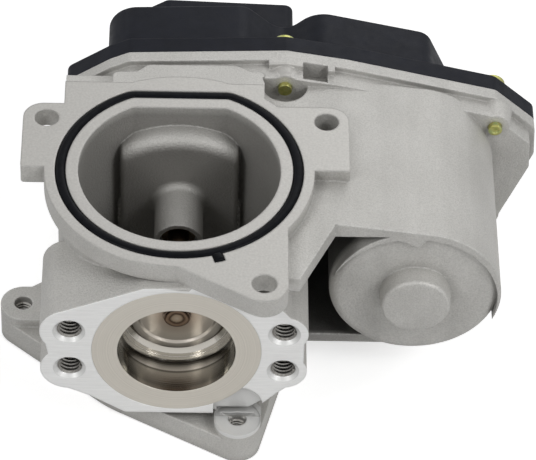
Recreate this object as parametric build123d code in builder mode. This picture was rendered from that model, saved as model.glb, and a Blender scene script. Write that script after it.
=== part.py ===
from build123d import *
import os
from math import acos, asin, atan2, cos, degrees, hypot, pi, radians, sin, sqrt, tan

os.makedirs("parts", exist_ok=True)

# Frame: the origin lies on the air duct's axis in the lower joint face.
# +Z goes up the duct, +X towards the motor and +Y towards the gear cover.
# Heights of what lies across the stem are measured from the stem's axis.

# Air duct and its joint faces
duct_r = 27.0
duct_flat_y = 23.8
duct_wall_r = 32.5
duct_corner_r = 2.0
spigot_r = 28.5
spigot_depth = 6.0
flange_t = 6.0
flange_r = 36.1
flange_hole_r = 3.3
flange_lobe_r = 6.3
flange_holes = [(-36.0, 19.05), (39.5, 19.1), (22.5, -41.8)]
flange_ear_left = -42.4
flange_ear_right = 45.6
flange_ear_front = 0.2
flange_ear_back = 24.8
flange_ear_corner_r = 5.5
flange_back_y = 33.5
flange_lobe_right_y = -21.8
groove_inner_r = 30.3
groove_w = 2.9
groove_flat_y = 27.4
groove_depth = 2.6
groove_corner_r = 3.0
seal_clearance = 0.1
seal_proud = 0.3
seal_edge_r = 1.0
seal_tab_w = 3.0
seal_tab_reach = 2.6
seal_tab_angle = -72.0

# Base plate with its tapped ears
base_t = 10.5
base_web_t = 7.6
base_strip_l = 14.0
base_ear_r = 6.3
base_thread_r = 2.5
base_ears = [(-42.65, 2.1), (16.7, -39.3), (24.3, 35.6)]
base_ear_turns = [0, 90, 270]
base_spot_r = 6.2
base_spot_depth = 0.3

# Exhaust port in front
stem_z = 35.3
port_top_land = 7.7
port_face_y = -38.3
port_back_y = -12.0
port_left_lobe_r = 7.8
port_right_lobe_r = 6.4
port_bolt_x = 28.4
port_bolt_half = 7.05
port_thread_r = 3.25
port_thread_depth = 15.0
port_chamfer = 1.1
port_corner_r = 2.5
port_outline = [
    (-35.0, 4.7), (-33.2, 13.4), (-8.7, 23.8), (9.0, 24.4), (24.0, 20.7), (33.8, 8.7),
    (33.8, -9.3), (27.0, -15.6), (23.3, -19.8), (18.0, -24.1), (-13.6, -24.1),
    (-23.0, -17.7), (-32.0, -13.3), (-33.4, -5.3),
]
relief_w = 13.2
relief_depth = 1.3
relief_top = 10.9

# Stainless insert with the valve seat
insert_r = 22.5
insert_flange_t = 8.0
insert_nose_r = 18.6
insert_bore_r = 15.7
insert_end_y = -20.5
seat_face_y = -25.6
seat_r = 14.4
seat_throat_r = 12.2
seat_cone = 2.0

# Valve
stem_r = 3.0
valve_lift = 6.0
disc_r = 13.7
disc_face_y = -25.3
disc_rim_t = 1.2
disc_cone = 2.4
disc_dish_r = 10.7
disc_dish = 0.6
disc_hub_r = 3.6
seat_gap = 0.06

# Stem guide through the duct's back wall
boss_r = 6.7
boss_end_y = 2.1
boss_root_r = 2.4
boss_mouth_r = 5.4
boss_mouth_depth = 3.0
bush_r = 4.6
bush_clearance = 0.04
seal_r = 6.0
seal_t = 4.0
pad_w = 32.3
pad_face_y = 17.5
pad_rise = 23.6
pad_top_r = 27.0
pad_shoulder_r = 4.0
pad_side_r = 1.5
pad_foot_w = 33.7
pad_foot_rise = -1.3
pad_foot_y = 19.0
pad_foot_corner_r = 2.5

# Gear case behind
recess_floor_y = 30.0
recess_r = 16.2
floor_front_y = 36.9
floor_y = 40.5
rim_front_y = 42.5
joint_y = 46.1
rim_step = 1.7
case_wall = 2.6
case_corner_r = 3.0
case_outline = [
    (-31.6, -26.3), (-31.6, 18.8), (-19.7, 27.1), (-14.4, 29.7), (28.9, 31.4),
    (45.7, 28.4), (87.4, 18.0), (99.0, 7.2), (99.5, -2.8), (90.5, -26.8),
    (80.0, -31.3), (-24.0, -31.3),
]
gasket_w = 1.2
gasket_depth = 1.2
case_screws = [(28.5, 26.2), (87.2, 12.5), (-26.0, 12.7), (-25.5, -24.3), (62.0, -26.7), (86.5, -21.8)]
case_boss_r = 4.2
case_screw_r = 1.9
case_hole_spare = 0.8
case_nose_r = 5.0
case_nose_corner_r = 2.0
boss_pocket_r = 6.2
boss_pocket_low = 21.4
side_pocket_left = 33.4
side_pocket_right = 40.2
side_pocket_y = 37.6
side_pocket_low = 21.5
pocket_wall = 2.0
pocket_wall_left = 24.0
case_tip_reach = 1.4

# Cast body round and behind the duct
body_left = -31.5
body_right = 35.3
body_rise = 29.9
body_step_rise = 25.9
body_top_outline = [
    (-18.6, 10.0), (-18.6, 37.9), (-12.0, 38.2), (-9.0, 41.0), (15.0, 41.3), (19.0, 38.9),
    (22.8, 38.9), (22.8, 10.0),
]
body_top_corner_r = 1.5

# Gear train
pressure_angle = radians(20)
addendum = 0.95
dedendum = 1.25
backlash = 0.12
flank_steps = 3
output_module = 1.0
output_teeth = 54
idler_small_teeth = 20
motor_module = 0.8
idler_large_teeth = 54
pinion_teeth = 15
motor_x = 64.0
valve_turn = 60.0
sector_margin = 7.0
sector_y = 43.0
sector_t = 5.0
small_y = 42.8
small_t = 5.8
large_y = 53.0
large_t = 4.5
idler_hub_r = 5.5
idler_pin_r = 2.0
gear_clearance = 0.05
pinion_y = 52.4
pinion_t = 5.8

# Cam sleeve, guide tube and cross pin
pin_y = 46.0
pin_r = 1.5
pin_half = 9.8
roller_r = 2.2
roller_inner_r = 6.9
slot_clearance = 0.22
slot_steps = 12
guide_r = 6.4
guide_bore_r = 3.4
guide_flange_r = 10.0
guide_flange_t = 1.8
guide_end_y = 51.4
guide_slot_clearance = 0.3
sleeve_r = 10.2
sleeve_front_y = 34.0
sleeve_end_y = 50.0
ring_t = 0.8
ring_r = 8.0
stem_end_y = 48.8
magnet_inner_r = 8.8
magnet_r = 11.8
magnet_t = 2.6

# Return spring
spring_r = 13.2
spring_wire_r = 0.9
spring_pitch = 2.5
spring_turns = 4
spring_gap = 0.3

# Motor
motor_wall_r = 23.2
motor_front_y = -15.0
motor_front_corner_r = 3.0
motor_bore_r = 20.0
motor_bore_y = -12.0
bump_r = 9.7
bump_tip_r = 9.3
bump_l = 5.7
bump_bore_r = 6.6
bump_wall = 2.7
bump_corner_r = 1.0
wave_t = 1.0
wave_r = 15.0
wave_inner_r = 9.0
can_r = 19.6
can_t = 1.3
can_boss_r = 5.8
can_boss_l = 5.0
magnet_t_motor = 2.6
magnet_arc = 140.0
magnet_from_y = -4.0
magnet_to_y = 30.0
armature_r = 15.2
armature_from_y = 0.0
armature_to_y = 26.0
armature_slots = 5
armature_core_r = 6.5
armature_neck_w = 4.6
armature_shoe_t = 3.0
armature_slot_w = 2.2
commutator_r = 4.5
commutator_from_y = 30.0
commutator_to_y = 36.6
brush_w = 4.0
brush_t = 3.0
brush_l = 7.0
card_t = 2.2
shaft_r = 1.6
shaft_end_y = 59.2
shaft_clearance = 0.04
bearing_r = 4.0
bearing_l = 4.0
plate_t = 2.0
plate_r = 20.3
plate_ear_r = 3.6
plate_screw_ring_r = 23.4
plate_screw_turn = 5.0
plate_boss_r = 6.0
plate_boss_l = 4.0
plate_screw_r = 1.5
plate_head_r = 2.9
plate_head_t = 2.2
plate_screw_depth = 3.0

# Webs between the duct and the motor
web_top_left = (20.0, 26.6)
web_top_mid = (41.5, 26.6)
web_top_right = (67.5, 22.9)
web_top_under = 21.9
web_front_y = -16.1
lip_reach = 1.1
lip_shift = (-0.8, -2.2)
web_front_x = 41.6
web_nose = (31.9, -36.4)
web_low = -23.2
web_low_t = 3.0

# Plastic gear cover
cover_flange_t = 5.6
cover_wall = 2.2
cover_top_y = 67.0
cover_edge_r = 0.8
dome_outline = [
    (-20.4, -27.3), (-20.4, 27.9), (17.8, 29.3), (28.4, 19.6), (37.2, 27.6), (69.0, 20.3),
    (76.5, 3.4), (76.5, -8.3), (63.0, -19.3), (56.0, -24.3), (48.0, -29.7), (-18.0, -29.7),
]
dome_corners = [1.2, 8.0, 6.0, 5.5, 9.0, 5.0, 8.0, 6.0, 6.0, 6.0, 5.0, 1.2]
idler_boss_r = 4.4
idler_boss_front_y = 58.4
idler_pin_end_y = 62.0
idler_pin_start_y = 37.4
head_r = 3.6
head_t = 3.2
head_edge_r = 1.0
head_socket_r = 1.9
head_socket_depth = 1.8

# Connector on the cover, open to the back
plug_outline = [(-9.5, 18.4), (-4.2, 21.7), (31.2, 20.4), (31.2, 3.7), (-9.5, 3.7)]
plug_corner_r = 2.5
plug_y = 60.0
plug_back_y = 77.0
plug_floor_t = 1.8
plug_wall = 1.8
socket_left = -4.2
socket_top = 18.0
socket_corner_r = 1.2
plug_catch_w = 7.0
plug_catch_l = 3.0
plug_catch_h = 1.4
blade_count = 5
blade_pitch = 5.4
blade_w = 2.8
blade_t = 0.8
blade_end_y = 71.4

# Sensor board in the cover, with the blades standing on it
board_left = -12.0
board_right = 28.0
board_low = -12.3
board_high = 14.0
board_t = 1.6
board_post_r = 1.8
board_post_inset = 2.6
chip_w = 6.0
chip_t = 1.2

# Worked out from the values above
duct_height = stem_z + insert_r + port_top_land
output_pitch_r = output_module * output_teeth / 2
small_pitch_r = output_module * idler_small_teeth / 2
large_pitch_r = motor_module * idler_large_teeth / 2
pinion_pitch_r = motor_module * pinion_teeth / 2
first_reach = output_pitch_r + small_pitch_r
second_reach = large_pitch_r + pinion_pitch_r
idler_dip = acos((first_reach**2 + motor_x**2 - second_reach**2) / (2 * first_reach * motor_x))
idler_x = first_reach * cos(idler_dip)
idler_z = -first_reach * sin(idler_dip)
to_idler = degrees(-idler_dip)
to_motor = degrees(atan2(-idler_z, motor_x - idler_x))
cover_back_y = joint_y + cover_flange_t


def facing(y, x=0.0, z=0.0):
    """Plane across the stem at y, with its origin on the stem's axis or off it by x and z."""
    return Plane(origin=(x, y, stem_z + z), x_dir=(1, 0, 0), z_dir=(0, -1, 0))


def rod(x, z, radius, y_from, y_to, mode=Mode.ADD):
    """Round bar, or hole, along Y between two stations."""
    with Locations((x, y_from, stem_z + z)):
        Cylinder(
            radius, y_to - y_from, rotation=(-90, 0, 0),
            align=(Align.CENTER, Align.CENTER, Align.MIN), mode=mode,
        )


def nosed_rod(x, z, radius, tip_r, y_from, y_to, corner):
    """Round bar along Y that narrows to a rounded front edge."""
    with BuildSketch(Plane.XY.offset(stem_z + z)) as half:
        with BuildLine():
            Polyline((x, y_from), (x + tip_r, y_from), (x + radius, y_to), (x, y_to), close=True)
        make_face()
        tip = (x + tip_r, y_from, stem_z + z)
        fillet(half.vertices().sort_by_distance(tip)[0], corner)
    revolve(half.sketch, axis=Axis((x, 0, stem_z + z), (0, 1, 0)))


def slab(face, y_from, y_to, mode=Mode.ADD):
    """Extrude a face that was drawn at y_to forwards to y_from."""
    extrude(face, amount=y_to - y_from, dir=(0, -1, 0), mode=mode)


def rounded_outline(points, corner, y, inset=0.0):
    """Closed outline with rounded corners at station y, drawn in by the inset."""
    with BuildSketch(facing(y)) as face:
        with BuildLine():
            FilletPolyline(points, radius=corner, close=True)
        make_face()
        if inset:
            offset(amount=-inset, mode=Mode.REPLACE)
    return face.sketch


def case_face(y, inset=0.0):
    """Outline of the gear case at station y."""
    return rounded_outline(case_outline, case_corner_r, y, inset)


def d_face(z, radius, flat, corner):
    """Round face with one flat side at the back, at height z."""
    with BuildSketch(Plane.XY.offset(z)) as face:
        Circle(radius)
        with Locations((0, flat)):
            Rectangle(3 * radius, radius, align=(Align.CENTER, Align.MIN), mode=Mode.SUBTRACT)
        fillet(face.vertices(), corner)
    return face.sketch


def hull_face(z, centre_r, lobe_r, lobe):
    """Round plate with one lobe joined to it by straight tangents."""
    with BuildSketch(Plane.XY.offset(z)) as face:
        Circle(centre_r)
        with Locations(lobe):
            Circle(lobe_r)
        make_hull()
    return face.sketch


def involute(angle):
    """Involute function of a pressure angle."""
    return tan(angle) - angle


def tooth_points(module, teeth, centre):
    """Outline points of one involute tooth whose middle points at the centre angle."""
    pitch_r = module * teeth / 2
    base_r = pitch_r * cos(pressure_angle)
    tip_r = pitch_r + addendum * module
    root_r = pitch_r - dedendum * module
    start_r = max(base_r, root_r)
    half = pi / (2 * teeth) - backlash / (2 * pitch_r) + involute(pressure_angle)
    flank = [(root_r, half - involute(acos(base_r / start_r)))]
    for step in range(flank_steps + 1):
        r = start_r + (tip_r - start_r) * step / flank_steps
        flank.append((r, half - involute(acos(base_r / r))))
    if root_r >= base_r:
        flank.pop(0)
    rising = [(r * cos(centre - a), r * sin(centre - a)) for r, a in flank]
    falling = [(r * cos(centre + a), r * sin(centre + a)) for r, a in reversed(flank)]
    return rising + falling


def gear_face(x, y, z, module, teeth, turned, count=None, closing=()):
    """Face of a gear, or of a run of its teeth closed over extra points."""
    points = []
    for index in range(count or teeth):
        points += tooth_points(module, teeth, radians(turned + 360 * index / teeth))
    with BuildSketch(facing(y, x, z)) as face:
        with BuildLine():
            Polyline(points + list(closing), close=True)
        make_face()
    return face.sketch


def ring_of(count, radius, start=0.0):
    """Angles and places of a ring of points about the motor axis."""
    spots = []
    for index in range(count):
        angle = radians(start + 360 * index / count)
        spots.append((motor_x + radius * cos(angle), radius * sin(angle)))
    return spots


# Cast housing: duct, port block, motor can and gear case in one casting
bolt_rows = [port_bolt_half, -port_bolt_half]
bolt_spots = [(side * port_bolt_x, row) for side in (-1, 1) for row in bolt_rows]
plate_screws = ring_of(3, plate_screw_ring_r, plate_screw_turn)
flange_z = duct_height - flange_t
lobe_x, lobe_y = flange_holes[2]
lobe_far = hypot(lobe_x, lobe_y + flange_r)
lobe_turn = atan2(lobe_y + flange_r, lobe_x) - asin(flange_lobe_r / lobe_far)
lobe_run = sqrt(lobe_far**2 - flange_lobe_r**2)
lobe_tangent = (lobe_run * cos(lobe_turn), -flange_r + lobe_run * sin(lobe_turn))

# Pad on the duct's back wall: arched top, thicker foot and the boss that holds the stem's bush
with BuildPart() as duct_pad:
    with BuildSketch(facing(duct_flat_y + 1)):
        with Locations((0, spigot_depth - stem_z)):
            Rectangle(pad_w, pad_rise + stem_z - spigot_depth, align=(Align.CENTER, Align.MIN))
        with Locations((0, pad_rise - pad_top_r)):
            Circle(pad_top_r, mode=Mode.INTERSECT)
    extrude(amount=duct_flat_y + 1 - pad_face_y)
    fillet(duct_pad.faces().sort_by(Axis.Y)[0].edges().sort_by(Axis.Z)[-1], pad_shoulder_r)
    fillet(duct_pad.faces().sort_by(Axis.Y)[0].edges().filter_by(Axis.Z), pad_side_r)
    with BuildSketch(facing(duct_flat_y + 1)) as foot:
        with Locations((0, spigot_depth - stem_z)):
            Rectangle(
                pad_foot_w, pad_foot_rise + stem_z - spigot_depth, align=(Align.CENTER, Align.MIN),
            )
        fillet(foot.vertices().group_by(Axis.Z)[-1], pad_foot_corner_r)
    extrude(amount=duct_flat_y + 1 - pad_foot_y)
    with BuildSketch(Plane.XY.offset(stem_z)) as boss:
        with BuildLine():
            Polyline(
                (0, boss_end_y), (boss_r, boss_end_y), (boss_r, pad_face_y),
                (boss_r + boss_root_r + 1, pad_face_y), (boss_r + boss_root_r + 1, duct_flat_y + 1),
                (0, duct_flat_y + 1), close=True,
            )
        make_face()
        fillet(boss.vertices().sort_by_distance((boss_r, pad_face_y, stem_z))[0], boss_root_r)
    revolve(axis=Axis((0, 0, stem_z), (0, 1, 0)))

with BuildPart() as housing:
    # Base plate and duct wall
    for ear, turn in zip(base_ears, base_ear_turns):
        extrude(hull_face(0, duct_wall_r, base_ear_r, ear), amount=base_web_t)
        with BuildSketch():
            with Locations(Location((*ear, 0), (0, 0, turn))):
                Circle(base_ear_r)
                Rectangle(base_strip_l, 2 * base_ear_r, align=(Align.MIN, Align.CENTER))
        extrude(amount=base_t)
    with BuildSketch():
        Circle(duct_wall_r)
    extrude(amount=flange_z)

    # Block behind the duct, up to the gear case floor, with a raised part behind the flange
    with BuildSketch(Plane.XY.offset(spigot_depth)):
        with Locations((body_left, 0)):
            Rectangle(body_right - body_left, floor_y, align=(Align.MIN, Align.MIN))
    extrude(amount=stem_z + body_step_rise - spigot_depth)
    with BuildSketch(Plane.XY.offset(stem_z + body_rise)):
        with BuildLine():
            FilletPolyline(body_top_outline, radius=body_top_corner_r, close=True)
        make_face()
    extrude(amount=body_step_rise - body_rise)

    # Port block with its bolt lobes
    slab(rounded_outline(port_outline, port_corner_r, port_back_y), port_face_y, port_back_y)
    for x, z in bolt_spots:
        rod(x, z, port_left_lobe_r if x < 0 else port_right_lobe_r, port_face_y, port_back_y)

    # Upper joint flange
    with BuildSketch(Plane.XY.offset(flange_z)):
        Circle(flange_r)
        with BuildLine():
            Polyline(
                (0, -flange_r), lobe_tangent, (lobe_x + flange_lobe_r, lobe_y),
                (lobe_x + flange_lobe_r, flange_lobe_right_y), (0, flange_lobe_right_y), close=True,
            )
        make_face()
        with Locations((lobe_x, lobe_y)):
            Circle(flange_lobe_r)
    extrude(amount=flange_t)
    with BuildSketch(Plane.XY.offset(flange_z)) as ears:
        with Locations(((flange_ear_left + flange_ear_right) / 2, flange_ear_front)):
            Rectangle(
                flange_ear_right - flange_ear_left, flange_ear_back - flange_ear_front,
                align=(Align.CENTER, Align.MIN),
            )
        fillet(ears.vertices().group_by(Axis.Y)[-1], flange_ear_corner_r)
        fillet(ears.vertices().group_by(Axis.Y)[0], 1.0)
    extrude(amount=flange_t)
    with BuildSketch(Plane.XY.offset(flange_z)):
        with Locations((body_left, 0)):
            Rectangle(body_top_outline[-1][0] - body_left, flange_back_y, align=(Align.MIN, Align.MIN))
    extrude(amount=flange_t)

    # Motor can with its rounded nose
    nosed_rod(motor_x, 0, motor_wall_r, motor_wall_r, motor_front_y, floor_y, motor_front_corner_r)
    with BuildSketch(facing(floor_y)):
        with BuildLine():
            Polyline(
                web_top_left, web_top_mid, web_top_right, (motor_x, web_top_under - 4),
                (motor_x - 8, web_top_under), (web_top_left[0], web_top_under), close=True,
            )
        make_face()
    extrude(amount=floor_y - web_front_y)
    with BuildSketch(Plane.XY.offset(stem_z + web_top_under)):
        with BuildLine():
            Polyline(
                (body_right - 8, web_nose[1]), web_nose, (web_front_x, web_front_y),
                (web_front_x, 0), (body_right - 8, 0), close=True,
            )
        make_face()
    extrude(amount=web_top_mid[1] - web_top_under)
    with BuildSketch(facing(motor_front_y + motor_front_corner_r)):
        with Locations((motor_x, 0)):
            Circle(motor_wall_r)
        with Locations((motor_x + lip_shift[0], lip_shift[1])):
            Circle(motor_wall_r, mode=Mode.SUBTRACT)
    extrude(amount=motor_front_corner_r + lip_reach)
    with BuildSketch(facing(floor_y)):
        with Locations((body_right - 6, web_low)):
            Rectangle(motor_x - body_right + 6, web_low_t, align=(Align.MIN, Align.MIN))
    extrude(amount=floor_y - motor_front_y - motor_front_corner_r)

    # Gear case floor, rim and screw bosses
    slab(case_face(rim_front_y, rim_step), floor_front_y, rim_front_y)
    slab(case_face(joint_y), rim_front_y, joint_y)
    slab(case_face(joint_y, case_wall), floor_y, joint_y, Mode.SUBTRACT)

    # Pockets beside the upper screw's boss, with the wall that keeps them out of the case
    shown_x, shown_z = case_screws[0]
    with BuildSketch(facing(joint_y)):
        with BuildLine():
            FilletPolyline(case_outline, radius=case_corner_r, close=True)
        make_face()
        with Locations((pocket_wall_left, side_pocket_low - pocket_wall)):
            Rectangle(
                side_pocket_right + pocket_wall - pocket_wall_left, motor_wall_r,
                align=(Align.MIN, Align.MIN), mode=Mode.INTERSECT,
            )
    extrude(amount=joint_y - floor_y)
    with BuildSketch(Plane.XY.offset(stem_z + boss_pocket_low)):
        with Locations((shown_x, floor_front_y)):
            Circle(boss_pocket_r)
        with Locations((shown_x, floor_front_y)):
            Rectangle(
                2 * boss_pocket_r, boss_pocket_r, align=(Align.CENTER, Align.MIN), mode=Mode.SUBTRACT,
            )
    extrude(amount=body_rise, mode=Mode.SUBTRACT)
    with Locations((side_pocket_left, side_pocket_y, stem_z + side_pocket_low)):
        Box(
            side_pocket_right - side_pocket_left, rim_front_y - side_pocket_y, body_rise,
            align=(Align.MIN, Align.MIN, Align.MIN), mode=Mode.SUBTRACT,
        )
    for x, z in case_screws:
        rod(x, z, case_boss_r, floor_front_y, joint_y)
    for x, z in case_screws[:2]:
        nosed_rod(x, z, case_nose_r, case_boss_r, floor_front_y, rim_front_y, case_nose_corner_r)

    # Motor bore, its end recess and the bump over it
    nosed_rod(motor_x, 0, bump_r, bump_tip_r, motor_front_y - bump_l, motor_front_y, bump_corner_r)
    rod(motor_x, 0, motor_bore_r, motor_bore_y, joint_y, Mode.SUBTRACT)
    rod(motor_x, 0, bump_bore_r, motor_front_y - bump_l + bump_wall, motor_bore_y, Mode.SUBTRACT)

    # Duct, with the pad and the stem boss on its back wall
    extrude(d_face(0, duct_r, duct_flat_y, duct_corner_r), amount=duct_height, mode=Mode.SUBTRACT)
    with BuildSketch():
        Circle(spigot_r)
    extrude(amount=spigot_depth, mode=Mode.SUBTRACT)
    add(duct_pad.part)

    # Seal groove in the upper face
    extrude(
        d_face(duct_height, groove_inner_r + groove_w, groove_flat_y + groove_w, groove_corner_r + groove_w)
        - d_face(duct_height, groove_inner_r, groove_flat_y, groove_corner_r),
        amount=-groove_depth, mode=Mode.SUBTRACT,
    )
    with BuildSketch(Plane.XY.offset(duct_height)):
        with PolarLocations(groove_inner_r + groove_w - 0.5, 1, seal_tab_angle):
            Rectangle(seal_tab_reach + 0.5, seal_tab_w, align=(Align.MIN, Align.CENTER))
    extrude(amount=-groove_depth, mode=Mode.SUBTRACT)

    # Spot face on the front ear, and the arched relief for its bolt in the port block
    front_x, front_y = base_ears[1]
    with Locations((front_x, front_y, base_t - base_spot_depth)):
        Cylinder(
            base_spot_r, base_spot_depth + 2, align=(Align.CENTER, Align.CENTER, Align.MIN),
            mode=Mode.SUBTRACT,
        )
    with BuildSketch(facing(port_face_y, front_x, base_t - stem_z)):
        with Locations((0, relief_top - relief_w / 2)):
            Circle(relief_w / 2)
        Rectangle(relief_w, relief_top - relief_w / 2, align=(Align.CENTER, Align.MIN))
    extrude(amount=-relief_depth, mode=Mode.SUBTRACT)

    # Bolt holes of the upper flange, the ears and the port
    with Locations(*[(x, y, duct_height) for x, y in flange_holes]):
        Hole(flange_hole_r, flange_t + 12)
    for x, y in base_ears:
        with Locations((x, y, 0)):
            Cylinder(base_thread_r, base_t, align=(Align.CENTER, Align.CENTER, Align.MIN), mode=Mode.SUBTRACT)
    for x, z in bolt_spots:
        rod(x, z, port_thread_r, port_face_y, port_face_y + port_thread_depth, Mode.SUBTRACT)
        with Locations((x, port_face_y, stem_z + z)):
            Cone(
                port_thread_r + port_chamfer, port_thread_r, port_chamfer, rotation=(-90, 0, 0),
                align=(Align.CENTER, Align.CENTER, Align.MIN), mode=Mode.SUBTRACT,
            )

    # Seat bore, stem bore, spring recess
    rod(0, 0, insert_r, port_face_y, port_face_y + insert_flange_t, Mode.SUBTRACT)
    rod(0, 0, insert_nose_r, port_face_y, insert_end_y, Mode.SUBTRACT)
    rod(0, 0, boss_mouth_r, boss_end_y, boss_end_y + boss_mouth_depth, Mode.SUBTRACT)
    rod(0, 0, bush_r, boss_end_y, recess_floor_y, Mode.SUBTRACT)
    rod(0, 0, seal_r, recess_floor_y - seal_t, recess_floor_y, Mode.SUBTRACT)
    rod(0, 0, recess_r, recess_floor_y, floor_y, Mode.SUBTRACT)

    # Screw holes in the case, and the idler pin's seat
    for x, z in case_screws:
        rod(x, z, case_screw_r, floor_front_y - case_tip_reach - case_hole_spare, joint_y, Mode.SUBTRACT)
    for x, z in plate_screws:
        rod(x, z, plate_screw_r, floor_y - plate_screw_depth, floor_y, Mode.SUBTRACT)
    rod(idler_x, idler_z, idler_pin_r, idler_pin_start_y, floor_y, Mode.SUBTRACT)

    # Gasket groove in the rim
    slab(
        case_face(joint_y, (case_wall - gasket_w) / 2) - case_face(joint_y, (case_wall + gasket_w) / 2),
        joint_y - gasket_depth, joint_y, Mode.SUBTRACT,
    )
    for x, z in case_screws:
        rod(x, z, case_boss_r, joint_y - gasket_depth, joint_y)
        rod(x, z, case_screw_r, joint_y - gasket_depth, joint_y, Mode.SUBTRACT)
housing.part.label = "housing"
export_step(housing.part, "parts/housing.step")

# Port seal: rubber ring lying in the groove, with a small locating tab
with BuildPart() as port_seal:
    extrude(
        d_face(
            duct_height - groove_depth, groove_inner_r + groove_w - seal_clearance,
            groove_flat_y + groove_w - seal_clearance, groove_corner_r + groove_w,
        )
        - d_face(
            duct_height - groove_depth, groove_inner_r + seal_clearance,
            groove_flat_y + seal_clearance, groove_corner_r,
        ),
        amount=groove_depth + seal_proud,
    )
    fillet(port_seal.faces().sort_by(Axis.Z)[-1].edges(), seal_edge_r)
    with BuildSketch(Plane.XY.offset(duct_height - groove_depth)):
        with PolarLocations(groove_inner_r + groove_w - 0.5, 1, seal_tab_angle):
            Rectangle(
                seal_tab_reach + 0.5 - seal_clearance, seal_tab_w - 2 * seal_clearance,
                align=(Align.MIN, Align.CENTER),
            )
    extrude(amount=groove_depth)
port_seal.part.label = "port_seal"
export_step(port_seal.part, "parts/port_seal.step")

# Seat insert: turned stainless ring pressed into the port
with BuildPart() as seat_insert:
    rod(0, 0, insert_r, port_face_y, port_face_y + insert_flange_t)
    rod(0, 0, insert_nose_r, port_face_y, insert_end_y)
    rod(0, 0, insert_bore_r, port_face_y, seat_face_y, Mode.SUBTRACT)
    with Locations((0, seat_face_y, stem_z)):
        Cone(
            seat_r, seat_throat_r, seat_cone, rotation=(-90, 0, 0),
            align=(Align.CENTER, Align.CENTER, Align.MIN), mode=Mode.SUBTRACT,
        )
    rod(0, 0, seat_throat_r, seat_face_y, insert_end_y, Mode.SUBTRACT)
seat_insert.part.label = "seat_insert"
export_step(seat_insert.part, "parts/seat_insert.step")

# Valve disc: dished poppet that lands on the seat's cone
cone_slope = (seat_r - seat_throat_r) / seat_cone
disc_rim_y = disc_face_y + disc_rim_t
disc_rim_r = seat_r - cone_slope * (disc_rim_y - seat_face_y) - seat_gap
with BuildPart() as valve_disc:
    with BuildSketch(Plane.YZ.offset(0)):
        with BuildLine():
            Polyline(
                (disc_face_y + disc_dish, stem_z + disc_hub_r),
                (disc_face_y + disc_dish, stem_z + disc_dish_r - disc_dish),
                (disc_face_y, stem_z + disc_dish_r),
                (disc_face_y, stem_z + disc_r - disc_rim_t),
                (disc_rim_y - seat_gap, stem_z + disc_rim_r),
                (seat_face_y + seat_cone, stem_z + seat_throat_r - 2 * seat_gap),
                (seat_face_y + seat_cone + disc_cone, stem_z + disc_hub_r + 2),
                (seat_face_y + seat_cone + disc_cone, stem_z + stem_r),
                (disc_face_y - disc_dish, stem_z + stem_r),
                (disc_face_y - disc_dish, stem_z + disc_hub_r),
                close=True,
            )
        make_face()
    revolve(axis=Axis((0, 0, stem_z), (0, 1, 0)))
valve_disc.part.label = "valve_disc"
export_step(valve_disc.part, "parts/valve_disc.step")

# Valve stem: ground rod with a cross hole at its driven end
with BuildPart() as valve_stem:
    rod(0, 0, stem_r, disc_face_y - disc_dish - 0.4, stem_end_y)
    with Locations((0, pin_y, stem_z)):
        Cylinder(pin_r, 4 * stem_r, mode=Mode.SUBTRACT)
valve_stem.part.label = "valve_stem"
export_step(valve_stem.part, "parts/valve_stem.step")

# Stem bush and stem seal
with BuildPart() as stem_bush:
    rod(0, 0, bush_r, boss_end_y + boss_mouth_depth, recess_floor_y - seal_t)
    rod(0, 0, stem_r + bush_clearance, boss_end_y + boss_mouth_depth, recess_floor_y - seal_t, Mode.SUBTRACT)
stem_bush.part.label = "stem_bush"
export_step(stem_bush.part, "parts/stem_bush.step")

with BuildPart() as stem_seal:
    rod(0, 0, seal_r, recess_floor_y - seal_t, recess_floor_y)
    rod(0, 0, stem_r + 2 * bush_clearance, recess_floor_y - seal_t, recess_floor_y, Mode.SUBTRACT)
stem_seal.part.label = "stem_seal"
export_step(stem_seal.part, "parts/stem_seal.step")

# Cross pin and the two rollers that run in the cam slots
with BuildPart() as cross_pin:
    with Locations((0, pin_y, stem_z)):
        Cylinder(pin_r, 2 * pin_half)
cross_pin.part.label = "cross_pin"
export_step(cross_pin.part, "parts/cross_pin.step")

roller_mid_r = (roller_inner_r + pin_half) / 2
with BuildPart() as cam_rollers:
    with Locations((0, pin_y, stem_z + roller_mid_r), (0, pin_y, stem_z - roller_mid_r)):
        Cylinder(roller_r, pin_half - roller_inner_r)
        Cylinder(pin_r, pin_half - roller_inner_r, mode=Mode.SUBTRACT)
cam_rollers.part.label = "cam_rollers"
export_step(cam_rollers.part, "parts/cam_rollers.step")

# Guide tube: slotted so that the pin can slide but not turn
slide_from = pin_y - valve_lift - pin_r - guide_slot_clearance
slide_to = pin_y + pin_r + guide_slot_clearance
with BuildPart() as cam_guide:
    rod(0, 0, guide_flange_r, recess_floor_y, recess_floor_y + guide_flange_t)
    rod(0, 0, guide_r, recess_floor_y, guide_end_y)
    rod(0, 0, guide_bore_r, recess_floor_y, guide_end_y, Mode.SUBTRACT)
    with Locations((0, (slide_from + slide_to) / 2, stem_z)):
        Box(2 * (pin_r + guide_slot_clearance), slide_to - slide_from, 4 * guide_r, mode=Mode.SUBTRACT)
cam_guide.part.label = "cam_guide"
export_step(cam_guide.part, "parts/cam_guide.step")

# Retaining ring that keeps the output gear on the guide tube
with BuildPart() as retaining_ring:
    rod(0, 0, ring_r, sleeve_end_y + gear_clearance, sleeve_end_y + gear_clearance + ring_t)
    rod(0, 0, guide_r, sleeve_end_y + gear_clearance, sleeve_end_y + gear_clearance + ring_t, Mode.SUBTRACT)
retaining_ring.part.label = "retaining_ring"
export_step(retaining_ring.part, "parts/retaining_ring.step")

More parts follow.
